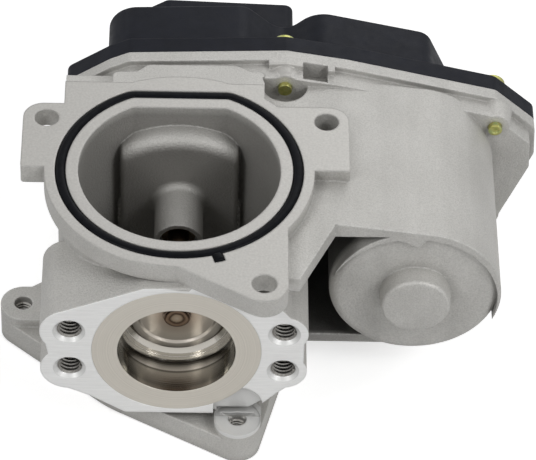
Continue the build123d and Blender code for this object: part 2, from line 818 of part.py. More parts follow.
# Output gear: toothed sector on a sleeve with two helical cam slots
tooth_step = 360 / output_teeth
low_teeth = int(sector_margin / tooth_step + 1)
sector_teeth = low_teeth + int((valve_turn + sector_margin) / tooth_step + 1) + 1
with BuildPart() as output_gear:
    slab(
        gear_face(
            0, sector_y + sector_t, 0, output_module, output_teeth,
            to_idler - low_teeth * tooth_step, sector_teeth, [(0, 0)],
        ),
        sector_y, sector_y + sector_t,
    )
    rod(0, 0, sleeve_r, sleeve_front_y, sleeve_end_y)
    rod(0, 0, magnet_r + 1.0, sector_y, sleeve_end_y)
    rod(0, 0, guide_r + gear_clearance, sleeve_front_y, sleeve_end_y, Mode.SUBTRACT)
    for side in (90, 270):
        for step in range(slot_steps + 1):
            turned = step / slot_steps
            with Locations(
                Location((0, pin_y - valve_lift * turned, stem_z), (0, -(side + valve_turn * turned), 0))
            ):
                Cylinder(
                    roller_r + slot_clearance, 2 * magnet_r, rotation=(0, 90, 0),
                    align=(Align.CENTER, Align.CENTER, Align.MIN), mode=Mode.SUBTRACT,
                )
output_gear.part.label = "output_gear"
export_step(output_gear.part, "parts/output_gear.step")

# Sensor magnet: ring on the end of the output gear
with BuildPart() as sensor_magnet:
    rod(0, 0, magnet_r, sleeve_end_y, sleeve_end_y + magnet_t)
    rod(0, 0, magnet_inner_r, sleeve_end_y, sleeve_end_y + magnet_t, Mode.SUBTRACT)
sensor_magnet.part.label = "sensor_magnet"
export_step(sensor_magnet.part, "parts/sensor_magnet.step")

# Return spring: torsion coil round the sleeve
with BuildPart() as return_spring:
    with BuildLine() as coil:
        Helix(
            spring_pitch, spring_pitch * spring_turns, spring_r,
            center=(0, recess_floor_y + spring_wire_r + spring_gap, stem_z), direction=(0, 1, 0),
        )
    with BuildSketch(Plane(origin=coil.line @ 0, z_dir=coil.line % 0)):
        Circle(spring_wire_r)
    sweep(is_frenet=True)
return_spring.part.label = "return_spring"
export_step(return_spring.part, "parts/return_spring.step")

# Intermediate gear: large wheel driven by the pinion, small wheel driving the sector
with BuildPart() as intermediate_gear:
    slab(
        gear_face(
            idler_x, small_y + small_t, idler_z, output_module, idler_small_teeth,
            to_idler + 180 + 180 / idler_small_teeth,
        ),
        small_y, small_y + small_t,
    )
    rod(idler_x, idler_z, idler_hub_r, small_y, large_y + large_t)
    slab(
        gear_face(
            idler_x, large_y + large_t, idler_z, motor_module, idler_large_teeth, to_motor,
        ),
        large_y, large_y + large_t,
    )
    rod(idler_x, idler_z, idler_pin_r + gear_clearance, small_y, large_y + large_t, Mode.SUBTRACT)
intermediate_gear.part.label = "intermediate_gear"
export_step(intermediate_gear.part, "parts/intermediate_gear.step")

with BuildPart() as intermediate_shaft:
    rod(idler_x, idler_z, idler_pin_r, idler_pin_start_y, idler_pin_end_y)
intermediate_shaft.part.label = "intermediate_shaft"
export_step(intermediate_shaft.part, "parts/intermediate_shaft.step")

# Motor: steel can with a bearing boss on its closed end
can_front_y = motor_bore_y + wave_t
with BuildPart() as motor_can:
    rod(motor_x, 0, can_r, can_front_y, floor_y)
    rod(motor_x, 0, can_boss_r, can_front_y - can_boss_l, can_front_y)
    rod(motor_x, 0, can_r - can_t, can_front_y + can_t, floor_y, Mode.SUBTRACT)
    rod(motor_x, 0, bearing_r, can_front_y - can_boss_l + can_t, can_front_y + can_t, Mode.SUBTRACT)
motor_can.part.label = "motor_can"
export_step(motor_can.part, "parts/motor_can.step")

with BuildPart() as wave_spring:
    rod(motor_x, 0, wave_r, motor_bore_y, can_front_y)
    rod(motor_x, 0, wave_inner_r, motor_bore_y, can_front_y, Mode.SUBTRACT)
wave_spring.part.label = "wave_spring"
export_step(wave_spring.part, "parts/wave_spring.step")

magnet_out = can_r - can_t
with BuildPart() as motor_magnets:
    with BuildSketch(facing(magnet_to_y)):
        with Locations((motor_x, 0)):
            Circle(magnet_out)
            Circle(magnet_out - magnet_t_motor, mode=Mode.SUBTRACT)
            Rectangle(2 * magnet_out * cos(radians(magnet_arc / 2)), 3 * magnet_out, mode=Mode.SUBTRACT)
    extrude(amount=magnet_to_y - magnet_from_y)
motor_magnets.part.label = "motor_magnets"
export_step(motor_magnets.part, "parts/motor_magnets.step")

# Rotor: shaft, slotted core with its coils, commutator and pinion
bearing_from = can_front_y - can_boss_l + can_t
with BuildPart() as motor_shaft:
    rod(motor_x, 0, shaft_r, bearing_from + 0.5, shaft_end_y)
motor_shaft.part.label = "motor_shaft"
export_step(motor_shaft.part, "parts/motor_shaft.step")

with BuildPart() as motor_armature:
    rod(motor_x, 0, armature_r, armature_from_y, armature_to_y)
    with BuildSketch(facing(armature_to_y)):
        with Locations((motor_x, 0)):
            Circle(armature_r - armature_shoe_t)
            Circle(armature_core_r, mode=Mode.SUBTRACT)
            with PolarLocations(0, armature_slots):
                Rectangle(armature_r, armature_neck_w, align=(Align.MIN, Align.CENTER), mode=Mode.SUBTRACT)
            with PolarLocations(0, armature_slots, 180 / armature_slots):
                Rectangle(2 * armature_r, armature_slot_w, align=(Align.MIN, Align.CENTER))
            Circle(armature_core_r, mode=Mode.SUBTRACT)
    extrude(amount=armature_to_y - armature_from_y, mode=Mode.SUBTRACT)
    rod(motor_x, 0, shaft_r, armature_from_y, armature_to_y, Mode.SUBTRACT)
motor_armature.part.label = "motor_armature"
export_step(motor_armature.part, "parts/motor_armature.step")

with BuildPart() as motor_commutator:
    rod(motor_x, 0, commutator_r, commutator_from_y, commutator_to_y)
    rod(motor_x, 0, shaft_r, commutator_from_y, commutator_to_y, Mode.SUBTRACT)
motor_commutator.part.label = "motor_commutator"
export_step(motor_commutator.part, "parts/motor_commutator.step")

with BuildPart() as motor_pinion:
    slab(
        gear_face(
            motor_x, pinion_y + pinion_t, 0, motor_module, pinion_teeth,
            to_motor + 180 + 180 / pinion_teeth,
        ),
        pinion_y, pinion_y + pinion_t,
    )
    rod(motor_x, 0, shaft_r, pinion_y, pinion_y + pinion_t, Mode.SUBTRACT)
motor_pinion.part.label = "motor_pinion"
export_step(motor_pinion.part, "parts/motor_pinion.step")

# Brush card with its two brushes
brush_from = commutator_r + 0.1
with BuildPart() as motor_brush_card:
    rod(motor_x, 0, magnet_out, commutator_to_y, commutator_to_y + card_t)
    rod(motor_x, 0, commutator_r + 1.5, commutator_to_y, commutator_to_y + card_t, Mode.SUBTRACT)
motor_brush_card.part.label = "motor_brush_card"
export_step(motor_brush_card.part, "parts/motor_brush_card.step")

with BuildPart() as motor_brushes:
    with Locations(
        (motor_x + brush_from, commutator_to_y, stem_z),
        (motor_x - brush_from - brush_l, commutator_to_y, stem_z),
    ):
        Box(brush_l, brush_w, brush_t, align=(Align.MIN, Align.MAX, Align.CENTER))
motor_brushes.part.label = "motor_brushes"
export_step(motor_brushes.part, "parts/motor_brushes.step")

# Motor end plate on the case floor, its bearings and screws
plate_y = floor_y + plate_t
with BuildPart() as motor_end_plate:
    rod(motor_x, 0, plate_r, floor_y, plate_y)
    for x, z in plate_screws:
        rod(x, z, plate_ear_r, floor_y, plate_y)
    rod(motor_x, 0, plate_boss_r, plate_y, plate_y + plate_boss_l)
    rod(motor_x, 0, bearing_r, plate_y + plate_boss_l - bearing_l, plate_y + plate_boss_l, Mode.SUBTRACT)
    rod(motor_x, 0, shaft_r + 0.6, floor_y, plate_y + plate_boss_l, Mode.SUBTRACT)
    for x, z in plate_screws:
        rod(x, z, plate_screw_r, floor_y, plate_y, Mode.SUBTRACT)
motor_end_plate.part.label = "motor_end_plate"
export_step(motor_end_plate.part, "parts/motor_end_plate.step")

with BuildPart() as motor_bearings:
    for y in (bearing_from, plate_y + plate_boss_l - bearing_l):
        rod(motor_x, 0, bearing_r, y, y + bearing_l)
        rod(motor_x, 0, shaft_r + shaft_clearance, y, y + bearing_l, Mode.SUBTRACT)
motor_bearings.part.label = "motor_bearings"
export_step(motor_bearings.part, "parts/motor_bearings.step")

with BuildPart() as motor_screws:
    for x, z in plate_screws:
        rod(x, z, plate_screw_r, floor_y - plate_screw_depth, plate_y)
        rod(x, z, plate_head_r, plate_y, plate_y + plate_head_t)
motor_screws.part.label = "motor_screws"
export_step(motor_screws.part, "parts/motor_screws.step")

# Gasket between the case and its cover
with BuildPart() as cover_gasket:
    slab(
        case_face(joint_y, (case_wall - gasket_w) / 2) - case_face(joint_y, (case_wall + gasket_w) / 2),
        joint_y - gasket_depth, joint_y,
    )
    for x, z in case_screws:
        rod(x, z, case_boss_r, joint_y - gasket_depth, joint_y, Mode.SUBTRACT)
cover_gasket.part.label = "cover_gasket"
export_step(cover_gasket.part, "parts/cover_gasket.step")

# Gear cover: moulded shell with two domes and a connector
plug_right, plug_low = plug_outline[3]
socket_right = plug_right - plug_wall
socket_low = plug_low + plug_wall
blade_x = (socket_left + socket_right) / 2
blade_z = (socket_low + socket_top) / 2
blades_x = [blade_x + blade_pitch * (index - (blade_count - 1) / 2) for index in range(blade_count)]
board_y = plug_y - board_t
board_corners = [
    (x, z)
    for x in (board_left + board_post_inset, board_right - board_post_inset)
    for z in (board_low + board_post_inset, board_high - board_post_inset)
]
with BuildPart() as gear_cover:
    slab(case_face(cover_back_y), joint_y, cover_back_y)
    slab(rounded_outline(dome_outline, dome_corners, cover_top_y), cover_back_y, cover_top_y)
    fillet(gear_cover.faces().sort_by(Axis.Y)[-1].edges(), cover_edge_r)
    slab(case_face(cover_back_y - cover_wall, case_wall), joint_y, cover_back_y - cover_wall, Mode.SUBTRACT)
    slab(
        rounded_outline(dome_outline, dome_corners, cover_top_y - cover_wall, cover_wall),
        joint_y, cover_top_y - cover_wall, Mode.SUBTRACT,
    )
    for x, z in case_screws:
        rod(x, z, case_boss_r, joint_y, cover_back_y)
        rod(x, z, case_screw_r + 0.3, joint_y, cover_back_y, Mode.SUBTRACT)
    rod(idler_x, idler_z, idler_boss_r, idler_boss_front_y, cover_top_y)
    rod(idler_x, idler_z, idler_pin_r, idler_boss_front_y, idler_pin_end_y, Mode.SUBTRACT)
    for x, z in board_corners:
        rod(x, z, board_post_r, board_y + board_t, cover_top_y - cover_wall)
    slab(rounded_outline(plug_outline, plug_corner_r, plug_back_y), plug_y, plug_back_y)
    with BuildSketch(facing(plug_back_y)) as socket:
        with Locations((blade_x, blade_z)):
            RectangleRounded(socket_right - socket_left, socket_top - socket_low, socket_corner_r)
    extrude(amount=plug_back_y - plug_y - plug_floor_t, mode=Mode.SUBTRACT)
    with Locations((blade_x, plug_back_y - plug_catch_l, stem_z + plug_low)):
        Box(plug_catch_w, plug_catch_l, plug_catch_h, align=(Align.CENTER, Align.MAX, Align.MAX))
    for x in blades_x:
        with Locations((x, plug_y, stem_z + blade_z)):
            Box(
                blade_w, plug_floor_t, blade_t,
                align=(Align.CENTER, Align.MIN, Align.CENTER), mode=Mode.SUBTRACT,
            )
gear_cover.part.label = "gear_cover"
export_step(gear_cover.part, "parts/gear_cover.step")

with BuildPart() as connector_pins:
    for x in blades_x:
        with Locations((x, plug_y, stem_z + blade_z)):
            Box(blade_w, blade_end_y - plug_y, blade_t, align=(Align.CENTER, Align.MIN, Align.CENTER))
connector_pins.part.label = "connector_pins"
export_step(connector_pins.part, "parts/connector_pins.step")

with BuildPart() as sensor_board:
    with Locations((board_left, board_y, stem_z + board_low)):
        Box(
            board_right - board_left, board_t, board_high - board_low,
            align=(Align.MIN, Align.MIN, Align.MIN),
        )
    with Locations((0, board_y, stem_z)):
        Box(chip_w, chip_t, chip_w, align=(Align.CENTER, Align.MAX, Align.CENTER))
sensor_board.part.label = "sensor_board"
export_step(sensor_board.part, "parts/sensor_board.step")

# Cover screws: round heads with a hexagon socket, tips just through the case bosses
with BuildPart() as cover_screws:
    for x, z in case_screws:
        rod(x, z, case_screw_r, floor_front_y - case_tip_reach, cover_back_y)
        rod(x, z, head_r, cover_back_y, cover_back_y + head_t)
    fillet(cover_screws.faces().filter_by(Axis.Y).group_by(Axis.Y)[-1].edges(), head_edge_r)
    with BuildSketch(facing(cover_back_y + head_t)):
        with Locations(*case_screws):
            RegularPolygon(head_socket_r, 6)
    extrude(amount=head_socket_depth, mode=Mode.SUBTRACT)
cover_screws.part.label = "cover_screws"
export_step(cover_screws.part, "parts/cover_screws.step")
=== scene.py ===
import bpy
import math
from mathutils import Matrix, Vector


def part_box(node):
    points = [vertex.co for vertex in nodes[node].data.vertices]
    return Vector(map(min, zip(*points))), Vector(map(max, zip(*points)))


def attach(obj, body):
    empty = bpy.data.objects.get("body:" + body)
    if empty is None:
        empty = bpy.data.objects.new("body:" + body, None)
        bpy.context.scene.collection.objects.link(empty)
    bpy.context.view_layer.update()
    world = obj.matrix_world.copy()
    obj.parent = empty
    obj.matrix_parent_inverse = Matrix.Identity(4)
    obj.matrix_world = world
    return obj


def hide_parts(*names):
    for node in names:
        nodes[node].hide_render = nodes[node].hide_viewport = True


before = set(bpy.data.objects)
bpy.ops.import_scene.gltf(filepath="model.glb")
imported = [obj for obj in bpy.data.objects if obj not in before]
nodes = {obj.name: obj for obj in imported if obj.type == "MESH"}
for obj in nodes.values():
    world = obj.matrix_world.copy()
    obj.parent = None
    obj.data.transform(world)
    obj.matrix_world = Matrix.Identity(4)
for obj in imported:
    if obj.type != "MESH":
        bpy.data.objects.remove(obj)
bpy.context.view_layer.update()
bpy.ops.object.select_all(action="DESELECT")
mm = 0.001

# The view of the photograph: a long lens, 45 degrees above the exhaust port, a little to the left and
# rolled by two degrees. The distance follows from the duct's bore of 54 mm.
image_w = 536
view_turn = math.radians(-1.862)
view_height = math.radians(45.316)
view_roll = math.radians(2.281)
focal_px = 3644.7
camera_place = Vector((1.66, -693.65, 744.7)) * mm
flat_right = Vector((math.cos(view_turn), math.sin(view_turn), 0))
view_back = Vector((
    math.sin(view_turn) * math.cos(view_height),
    -math.cos(view_turn) * math.cos(view_height),
    math.sin(view_height),
))
flat_up = view_back.cross(flat_right)
view_right = flat_right * math.cos(view_roll) + flat_up * math.sin(view_roll)
view_up = flat_up * math.cos(view_roll) - flat_right * math.sin(view_roll)
lens = bpy.data.cameras.new("photo_lens")
lens.sensor_width = 36
lens.lens = focal_px / image_w * lens.sensor_width
lens.clip_end = 10
camera = bpy.data.objects.new("photo_camera", lens)
camera.matrix_world = Matrix((
    (view_right.x, view_up.x, view_back.x, camera_place.x),
    (view_right.y, view_up.y, view_back.y, camera_place.y),
    (view_right.z, view_up.z, view_back.z, camera_place.z),
    (0, 0, 0, 1),
))
bpy.context.scene.collection.objects.link(camera)
bpy.context.scene.camera = camera
bpy.context.scene.view_settings.view_transform = "Standard"


# The studio: a pale floor that keeps the shadow and a white surround, which only the camera and
# mirror-like surfaces see as pure white, and three soft lamps from above.
def finish_of(name, color, roughness, metallic=0.0):
    """Material with one shader; hands back the material, its node tree and the shader."""
    material = bpy.data.materials.new(name)
    material.use_nodes = True
    tree = material.node_tree
    shader = tree.nodes["Principled BSDF"]
    shader.inputs["Base Color"].default_value = (*color, 1)
    shader.inputs["Roughness"].default_value = roughness
    shader.inputs["Metallic"].default_value = metallic
    return material, tree, shader


def calc(tree, first, second, operation="ADD"):
    """Math node on two sockets or numbers."""
    node = tree.nodes.new("ShaderNodeMath")
    node.operation = operation
    for socket, value in zip(node.inputs, (first, second)):
        if isinstance(value, (int, float)):
            socket.default_value = value
        else:
            tree.links.new(value, socket)
    return node.outputs[0]


bpy.ops.mesh.primitive_plane_add(size=6, location=(0, 0, -0.5 * mm))
floor = bpy.context.object
floor.name = "floor"
floor_material, floor_tree, floor_shader = finish_of("pale_floor", (0.85, 0.85, 0.85), 0.9)
floor_rays = floor_tree.nodes.new("ShaderNodeLightPath")
floor_shader.inputs["Emission Color"].default_value = (1, 1, 1, 1)
floor_tree.links.new(
    calc(floor_tree, floor_rays.outputs["Is Camera Ray"], 0.6, "MULTIPLY"),
    floor_shader.inputs["Emission Strength"],
)
floor.data.materials.append(floor_material)

world = bpy.data.worlds.new("surround")
bpy.context.scene.world = world
world.use_nodes = True
world_back = world.node_tree.nodes["Background"]
world_rays = world.node_tree.nodes.new("ShaderNodeLightPath")
seen_rays = world_rays.outputs["Is Camera Ray"]
for ray in ("Is Glossy Ray", "Is Transmission Ray"):
    seen_rays = calc(world.node_tree, seen_rays, world_rays.outputs[ray], "MAXIMUM")
world_back.inputs["Color"].default_value = (1, 1, 1, 1)
world.node_tree.links.new(
    calc(world.node_tree, 0.25, calc(world.node_tree, seen_rays, 0.75, "MULTIPLY")),
    world_back.inputs["Strength"],
)


def soft_lamp(name, place, aim, size, power):
    """Square lamp at a place, pointing at the aim."""
    data = bpy.data.lights.new(name, "AREA")
    data.size = size
    data.energy = power
    lamp = bpy.data.objects.new(name, data)
    lamp.location = place
    lamp.rotation_euler = (Vector(aim) - Vector(place)).to_track_quat("-Z", "Y").to_euler()
    bpy.context.scene.collection.objects.link(lamp)


middle = (0.03, 0, 0.04)
soft_lamp("right_lamp", (0.75, -0.5, 0.75), middle, 0.4, 4.6)
soft_lamp("left_lamp", (-0.65, -0.55, 0.8), middle, 0.4, 3.5)
soft_lamp("back_lamp", (0.25, 0.7, 0.6), middle, 0.5, 1.2)


# Housing: one aluminium casting with duct, port, flanges, motor can and gear case. Its skin is blasted,
# the upper face and the port face are milled, and all edges of the casting are softly rounded.
def grain(tree, size, detail=3.0, stretch=(1, 1, 1)):
    """Noise in Object coordinates; a grain is about as wide as size."""
    place = tree.nodes.new("ShaderNodeTexCoord")
    mapping = tree.nodes.new("ShaderNodeMapping")
    mapping.inputs["Scale"].default_value = [factor / size for factor in stretch]
    noise = tree.nodes.new("ShaderNodeTexNoise")
    noise.inputs["Scale"].default_value = 1.0
    noise.inputs["Detail"].default_value = detail
    tree.links.new(place.outputs["Object"], mapping.inputs["Vector"])
    tree.links.new(mapping.outputs["Vector"], noise.inputs["Vector"])
    return noise.outputs["Fac"]


def shades(tree, value, stops):
    """Colour ramp over a value."""
    ramp = tree.nodes.new("ShaderNodeValToRGB")
    while len(ramp.color_ramp.elements) < len(stops):
        ramp.color_ramp.elements.new(0.5)
    for element, (position, color) in zip(ramp.color_ramp.elements, stops):
        element.position = position
        element.color = (*color, 1)
    tree.links.new(value, ramp.inputs["Fac"])
    return ramp.outputs["Color"]


def ease(tree, value, start, end, low=0.0, high=1.0):
    """Value mapped from start..end to low..high and held there."""
    node = tree.nodes.new("ShaderNodeMapRange")
    for name, number in (("From Min", start), ("From Max", end), ("To Min", low), ("To Max", high)):
        node.inputs[name].default_value = number
    tree.links.new(value, node.inputs["Value"])
    return node.outputs["Result"]


def blend_colors(tree, share, first, second, mode="MIX"):
    """Colour mix node; share is a socket or a number, first and second are sockets or colours."""
    node = tree.nodes.new("ShaderNodeMix")
    node.data_type = "RGBA"
    node.blend_type = mode
    if isinstance(share, (int, float)):
        node.inputs[0].default_value = share
    else:
        tree.links.new(share, node.inputs[0])
    for socket, value in ((node.inputs[6], first), (node.inputs[7], second)):
        if isinstance(value, tuple):
            socket.default_value = (*value, 1)
        else:
            tree.links.new(value, socket)
    return node.outputs[2]


def along(tree, axis):
    """Object coordinate along an axis, in metres."""
    place = tree.nodes.new("ShaderNodeTexCoord")
    parts = tree.nodes.new("ShaderNodeSeparateXYZ")
    tree.links.new(place.outputs["Object"], parts.inputs["Vector"])
    return parts.outputs[axis]


def off_level(tree, axis, level):
    """Distance from a level along an axis, on either side of it."""
    return calc(tree, calc(tree, along(tree, axis), level, "SUBTRACT"), 0, "ABSOLUTE")


def within(tree, *shares):
    """Product of masks: what lies inside all of them."""
    inside = shares[0]
    for share in shares[1:]:
        inside = calc(tree, inside, share, "MULTIPLY")
    return inside


def mottle(tree, shader, value, dark, light):
    """Base colour that wanders between two tones."""
    tree.links.new(shades(tree, value, [(0.3, dark), (0.7, light)]), shader.inputs["Base Color"])


def radius_from(tree, centre, keep):
    """Distance from an axis through centre; keep is 1 for the two directions across the axis."""
    place = tree.nodes.new("ShaderNodeTexCoord")
    mapping = tree.nodes.new("ShaderNodeMapping")
    mapping.inputs["Location"].default_value = [-part * share for part, share in zip(centre, keep)]
    mapping.inputs["Scale"].default_value = keep
    length = tree.nodes.new("ShaderNodeVectorMath")
    length.operation = "LENGTH"
    tree.links.new(place.outputs["Object"], mapping.inputs["Vector"])
    tree.links.new(mapping.outputs["Vector"], length.inputs[0])
    return length.outputs["Value"]


def relief(tree, shader, height, depth, edge_r=0.0):
    """Bump of a height socket, over edges that look rounded by edge_r."""
    bump = tree.nodes.new("ShaderNodeBump")
    bump.inputs["Strength"].default_value = 1.0
    bump.inputs["Distance"].default_value = depth
    tree.links.new(height, bump.inputs["Height"])
    if edge_r:
        rounding = tree.nodes.new("ShaderNodeBevel")
        rounding.samples = 6
        rounding.inputs["Radius"].default_value = edge_r
        tree.links.new(rounding.outputs["Normal"], bump.inputs["Normal"])
    tree.links.new(bump.outputs["Normal"], shader.inputs["Normal"])


def dressed_copy(name, node, body, material, angle=32):
    """Merged and smoothed copy of a node's mesh that stands for the node."""
    piece = bpy.data.objects.new(name, nodes[node].data.copy())
    bpy.context.scene.collection.objects.link(piece)
    bpy.ops.object.select_all(action="DESELECT")
    piece.select_set(True)
    bpy.context.view_layer.objects.active = piece
    bpy.ops.object.mode_set(mode="EDIT")
    bpy.ops.mesh.select_all(action="SELECT")
    bpy.ops.mesh.remove_doubles(threshold=0.002 * mm)
    bpy.ops.object.mode_set(mode="OBJECT")
    bpy.ops.mesh.customdata_custom_splitnormals_clear()
    bpy.ops.object.shade_smooth_by_angle(angle=math.radians(angle))
    piece.select_set(False)
    piece.data.materials.clear()
    piece.data.materials.append(material)
    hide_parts(node)
    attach(piece, body)
    return piece


stem_z = 35.3 * mm
top_z = 65.5 * mm
port_y = -38.3 * mm
duct_r = 27 * mm
duct_flat_y = 23.5 * mm
rim_back_y = 41.3 * mm
port_foot_z = 10.6 * mm
port_hole_x = 28.4 * mm
port_hole_rise = 7.05 * mm
front_ear = (16.7 * mm, -39.3 * mm)
gap_left_x = 35.3 * mm
gap_half_height = 22.6 * mm
cast_material, tree, shader = finish_of("blasted_aluminium", (0.5, 0.49, 0.465), 0.5, 0.35)
x_place = along(tree, "X")
y_place = along(tree, "Y")
z_place = along(tree, "Z")
facing = tree.nodes.new("ShaderNodeNewGeometry")
facing_parts = tree.nodes.new("ShaderNodeSeparateXYZ")
tree.links.new(facing.outputs["Normal"], facing_parts.inputs["Vector"])
from_port = off_level(tree, "Y", port_y)
from_stem = off_level(tree, "Z", stem_z)

# Skin of the casting: two blasted tones, a fine speckle, and faint flow marks on the can's side.
skin_color = shades(tree, grain(tree, 14 * mm, 4), [(0.3, (0.55, 0.54, 0.515)), (0.7, (0.61, 0.6, 0.575))])
speckle = shades(tree, grain(tree, 0.4 * mm, 2), [(0.32, (0.84, 0.84, 0.84)), (0.62, (1, 1, 1))])
flow_marks = shades(
    tree, grain(tree, 7 * mm, 2, (1, 0.04, 0.3)), [(0.35, (0.93, 0.93, 0.93)), (0.6, (1, 1, 1))],
)
skin_color = blend_colors(tree, ease(tree, x_place, 30 * mm, 36 * mm), skin_color, flow_marks, "MULTIPLY")
skin_color = blend_colors(tree, 1, skin_color, speckle, "MULTIPLY")

# Inside of the duct: painted shade, less of it on its walls and on what looks up.
from_duct = radius_from(tree, (0, 0, 0), (1, 1, 0))
on_wall = calc(
    tree, ease(tree, from_duct, duct_r - 0.7 * mm, duct_r - 0.2 * mm),
    ease(tree, y_place, duct_flat_y - 0.2 * mm, duct_flat_y + 0.2 * mm), "MAXIMUM",
)
duct_painted_shade = within(
    tree,
    ease(tree, from_duct, duct_r + 0.4 * mm, duct_r + 0.2 * mm),
    ease(tree, z_place, top_z - 0.2 * mm, top_z - 3 * mm),
    ease(tree, facing_parts.outputs["Z"], 0.15, 0.75, 0.8, 0.25),
    ease(tree, on_wall, 0, 1, 1, 0.75),
)
shaded = blend_colors(tree, duct_painted_shade, skin_color, (0.17, 0.163, 0.15))

# Milled faces: the upper face with its ears, and the port face with the lines of the cutter.
on_top = within(
    tree,
    ease(tree, z_place, top_z - 0.15 * mm, top_z - 0.05 * mm),
    ease(tree, y_place, rim_back_y + 0.2 * mm, rim_back_y),
)
on_port = within(
    tree,
    ease(tree, from_port, 0.12 * mm, 0.06 * mm),
    ease(tree, facing_parts.outputs["Y"], -0.98, -0.995),
    ease(tree, z_place, port_foot_z, port_foot_z + 0.2 * mm),
)
mill_lines = grain(tree, 0.35 * mm, 2, (0.06, 1, 1))
top_color = shades(tree, grain(tree, 0.6 * mm, 3), [(0.3, (0.43, 0.42, 0.4)), (0.7, (0.5, 0.49, 0.465))])
port_color = shades(tree, mill_lines, [(0.3, (0.88, 0.88, 0.87)), (0.7, (0.95, 0.95, 0.94))])

# Port holes: painted shade inside, with a bright chamfer, and the bright spot face over the front ear.
hole_across = calc(tree, off_level(tree, "X", 0), port_hole_x, "SUBTRACT")
hole_level = calc(tree, from_stem, port_hole_rise, "SUBTRACT")
from_hole = calc(
    tree, calc(tree, hole_across, hole_across, "MULTIPLY"), calc(tree, hole_level, hole_level, "MULTIPLY"),
)
from_hole = calc(tree, from_hole, 0.5, "POWER")
hole_painted_shade = within(
    tree,
    ease(tree, from_hole, 3.45 * mm, 3.35 * mm),
    ease(tree, y_place, port_y + 1.0 * mm, port_y + 2.5 * mm),
    ease(tree, y_place, -20 * mm, -21 * mm),
)
chamfer = within(
    tree, ease(tree, from_hole, 4.75 * mm, 4.65 * mm), ease(tree, y_place, -36 * mm, -36.5 * mm),
)
spot_face = within(
    tree,
    ease(tree, radius_from(tree, (*front_ear, 0), (1, 1, 0)), 7.6 * mm, 7.4 * mm),
    ease(tree, z_place, 9.0 * mm, 9.2 * mm),
    ease(tree, z_place, 30 * mm, 29 * mm),
    ease(tree, from_port, 0.1 * mm, 0.2 * mm),
)
tooled = calc(tree, chamfer, spot_face, "MAXIMUM")

# Painted shade in the deep gap between port block and motor can, which never sees the light.
gap_painted_shade = within(
    tree,
    ease(tree, x_place, gap_left_x, gap_left_x + 0.1 * mm),
    ease(tree, x_place, 56 * mm, 46 * mm),
    ease(tree, from_stem, gap_half_height + 0.8 * mm, gap_half_height),
    ease(tree, y_place, -13.5 * mm, -10.5 * mm),
    ease(tree, y_place, 41 * mm, 40.8 * mm),
)
# Painted shade: the holes and the deep gap are darkened almost to black.
shaded = blend_colors(tree, calc(tree, hole_painted_shade, 0.9, "MULTIPLY"), shaded, (0.03, 0.027, 0.022))
shaded = blend_colors(tree, calc(tree, gap_painted_shade, 0.88, "MULTIPLY"), shaded, (0.03, 0.03, 0.028))
bright = calc(tree, tooled, calc(tree, 1, hole_painted_shade, "SUBTRACT"), "MULTIPLY")
shaded = blend_colors(tree, bright, shaded, (0.72, 0.72, 0.71))

# Edges lightened, partly as rubbed wear and partly as a painted highlight, and painted shade in the
# hollows.
edge_turn = tree.nodes.new("ShaderNodeBevel")
edge_turn.samples = 6
edge_turn.inputs["Radius"].default_value = 0.9 * mm
edge_share = tree.nodes.new("ShaderNodeVectorMath")
edge_share.operation = "DOT_PRODUCT"
tree.links.new(edge_turn.outputs["Normal"], edge_share.inputs[0])
tree.links.new(facing.outputs["Normal"], edge_share.inputs[1])
rubbed_and_highlit = ease(tree, edge_share.outputs["Value"], 0.985, 0.9)
rubbed_and_highlit = within(tree, rubbed_and_highlit, ease(tree, grain(tree, 0.9 * mm, 3), 0.35, 0.6))
shaded = blend_colors(tree, calc(tree, rubbed_and_highlit, 0.45, "MULTIPLY"), shaded, (0.8, 0.79, 0.77))
# Painted shade: crevices and pockets darkened by ambient occlusion.
hollows = tree.nodes.new("ShaderNodeAmbientOcclusion")
hollows.samples = 8
hollows.inputs["Distance"].default_value = 5 * mm
hollow_painted_shade = ease(tree, hollows.outputs["AO"], 0.35, 0.85, 0.4, 0.0)
shaded = blend_colors(tree, hollow_painted_shade, shaded, (0.09, 0.085, 0.075))
tree.links.new(
    blend_colors(tree, on_port, blend_colors(tree, on_top, shaded, top_color), port_color),
    shader.inputs["Base Color"],
)
milled = calc(tree, calc(tree, on_top, on_port, "MAXIMUM"), tooled, "MAXIMUM")
tree.links.new(ease(tree, milled, 0, 1, 0.55, 0.36), shader.inputs["Roughness"])
relief(
    tree, shader,
    calc(tree, grain(tree, 0.55 * mm, 3), ease(tree, milled, 0, 1, 1, 0.15), "MULTIPLY"),
    0.2 * mm, 0.7 * mm,
)
dressed_copy("casting", "housing", "root", cast_material)


# Cored pocket beside the upper cover screw: the sand core left it with a soft bowl for a floor, cast in
# one with the housing.
bowl_x, bowl_y, bowl_z = 36.8 * mm, 40.05 * mm, 62.2 * mm
bpy.ops.object.select_all(action="DESELECT")
bpy.ops.mesh.primitive_grid_add(
    x_subdivisions=18, y_subdivisions=14, size=1, location=(bowl_x, bowl_y, bowl_z),
)
bowl = bpy.context.object
bowl.name = "pocket_bowl"
bowl.scale = (6.9 * mm, 5.0 * mm, 1)
bpy.ops.object.transform_apply(location=True, rotation=True, scale=True)
for vertex in bowl.data.vertices:
    vertex.select = math.hypot(vertex.co.x - bowl_x, vertex.co.y - bowl_y - 0.6 * mm) < 0.5 * mm
bpy.ops.object.mode_set(mode="EDIT")
bpy.ops.transform.translate(
    value=(0, 0, -2.2 * mm), use_proportional_edit=True, proportional_edit_falloff="SMOOTH",
    proportional_size=2.6 * mm,
)
bpy.ops.object.mode_set(mode="OBJECT")
bpy.ops.object.modifier_add(type="SOLIDIFY")
bowl.modifiers[-1].thickness = 0.8 * mm
bpy.ops.object.modifier_apply(modifier=bowl.modifiers[-1].name)
bpy.ops.object.shade_smooth_by_angle(angle=math.radians(50))
bowl.data.materials.append(cast_material)
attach(bowl, "root")


